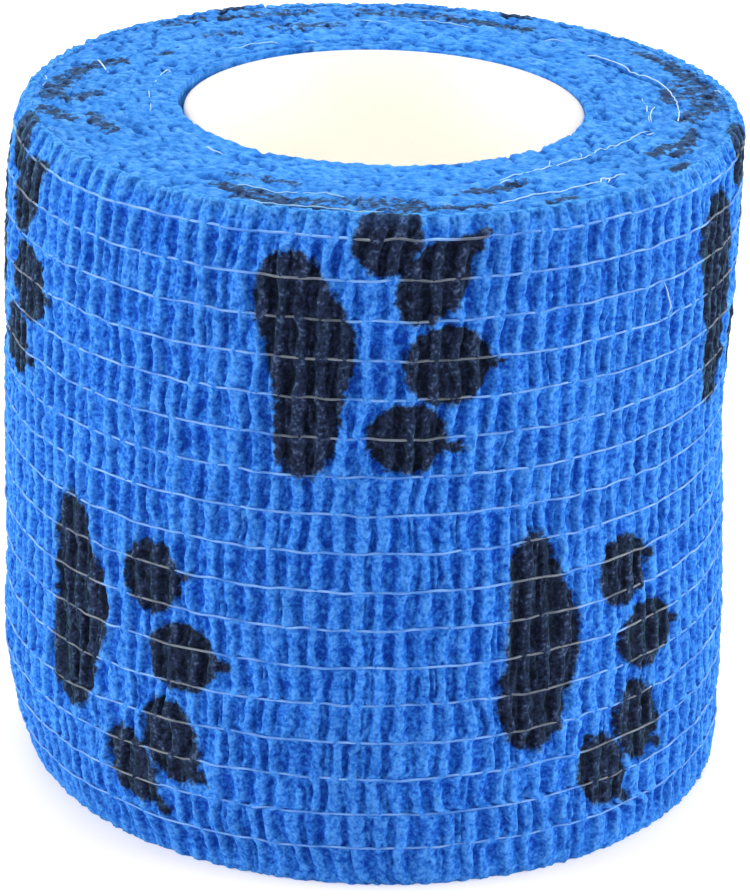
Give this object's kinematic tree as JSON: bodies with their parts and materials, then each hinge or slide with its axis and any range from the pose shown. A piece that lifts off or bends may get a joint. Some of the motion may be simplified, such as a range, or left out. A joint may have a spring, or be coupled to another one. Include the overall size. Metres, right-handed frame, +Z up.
{
  "type": "cohesive bandage roll",
  "caption": "Roll of crinkled self-adhering elastic bandage wound on a short plain core tube, standing on one end.",
  "frame": {"origin": "middle of the end that the roll stands on, at the surface it rests on", "axes": "+Z up along the core's axis, -Y towards the front with one paw mark near its middle, +X to the right seen from the front"},
  "size_m": [0.0545, 0.0541, 0.05],
  "materials": {
    "bandage_fabric": "matte crinkled nonwoven in bright blue with dark printed paw marks and thin pale elastic threads",
    "core_plastic": "smooth satin cream"
  },
  "bodies": {
    "root": {"bandage_roll": "bandage_fabric", "core_tube": "core_plastic"}
  },
  "joints": []
}
